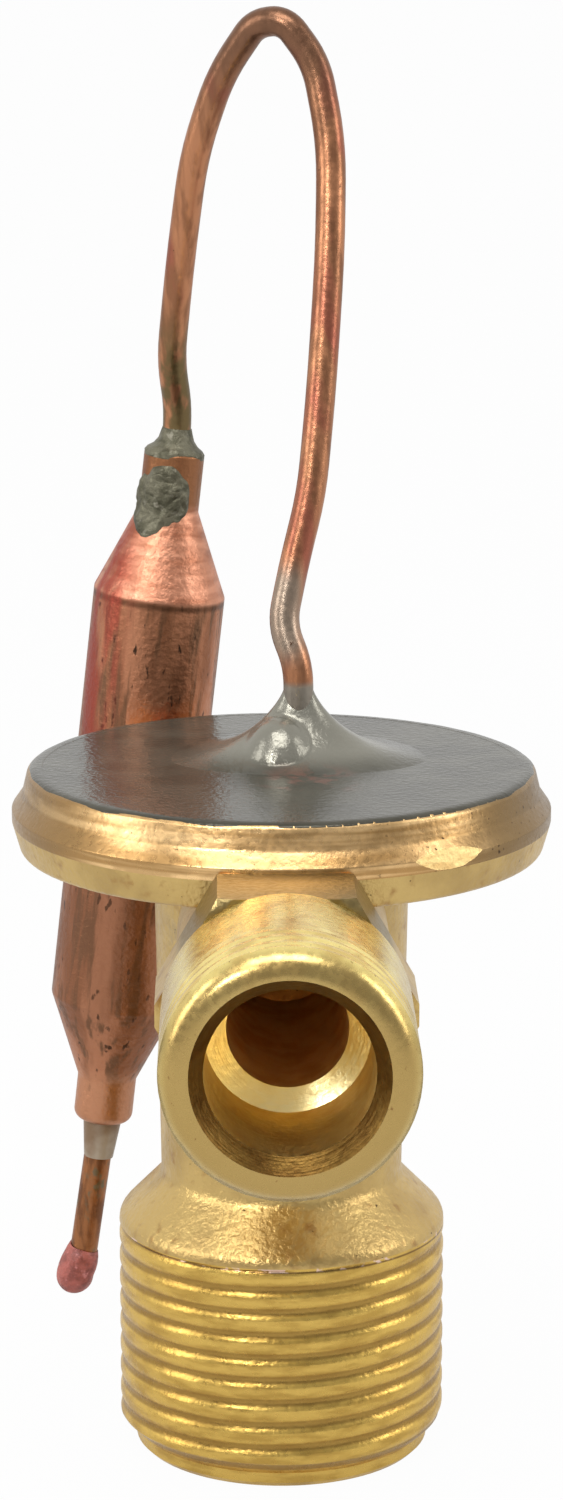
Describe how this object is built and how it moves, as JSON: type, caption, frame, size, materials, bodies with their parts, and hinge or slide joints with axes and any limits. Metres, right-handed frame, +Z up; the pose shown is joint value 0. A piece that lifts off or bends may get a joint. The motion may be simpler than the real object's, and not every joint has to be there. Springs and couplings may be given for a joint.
{
  "type": "thermostatic expansion valve",
  "caption": "Angle-pattern brass expansion valve with a threaded inlet and outlet, a clamped diaphragm head, a capillary loop and a copper sensing bulb.",
  "frame": {"origin": "centre of the outlet end face", "axes": "+Z up along the valve's axis from the outlet to the diaphragm head, -Y out of the inlet port, +X to the right seen from the inlet"},
  "size_m": [0.0412, 0.0722, 0.1109],
  "materials": {
    "forged_brass": "forged and machined brass, slightly tarnished",
    "turned_brass": "turned brass",
    "turned_steel": "turned and ground stainless steel",
    "spring_steel": "bright spring steel",
    "tinned_steel": "dull hot-tinned steel",
    "soft_solder": "smooth soft solder",
    "dull_solder": "oxidised grey-green solder",
    "drawn_copper": "drawn copper, tarnished",
    "bulb_copper": "swaged copper with brown tarnish",
    "sealing_resin": "red dipped resin"
  },
  "bodies": {
    "root": {"valve_body": "forged_brass", "seat_insert": "turned_steel", "diaphragm": "spring_steel", "element_cap": "tinned_steel", "cap_solder": "soft_solder", "capillary_tube": "drawn_copper", "sensing_bulb": "bulb_copper", "bulb_solder": "dull_solder", "charge_tube": "drawn_copper", "charge_solder": "dull_solder", "charge_seal": "sealing_resin"},
    "stem": {"thrust_pad": "turned_brass", "push_rod_1": "turned_steel", "push_rod_2": "turned_steel", "push_rod_3": "turned_steel", "ball_carrier": "turned_brass", "valve_ball": "turned_steel"},
    "adjuster_seat": {"spring_seat": "turned_brass", "superheat_spring": "spring_steel"},
    "adjuster_nut": {"adjusting_nut": "turned_brass"}
  },
  "joints": [
    {"name": "stem_stroke", "type": "slide", "parent": "root", "child": "stem", "axis": [0, 0, -1], "range_m": [0, 0.0007], "stiffness_N_per_m": 6000, "springref_m": -0.0003, "deforming": ["superheat_spring"]},
    {"name": "adjuster_travel", "type": "slide", "parent": "root", "child": "adjuster_seat", "axis": [0, 0, 1], "range_m": [-0.001, 0.001], "deforming": ["superheat_spring"]},
    {"name": "adjuster_turn", "type": "hinge", "parent": "adjuster_seat", "child": "adjuster_nut", "pos_m": [0, 0, 0.009], "axis": [0, 0, 1], "range_deg": [-360, 360]}
  ],
  "couplings": [
    {"joint": "adjuster_travel", "follows": "adjuster_turn", "m_per_rad": 0.00015915}
  ]
}
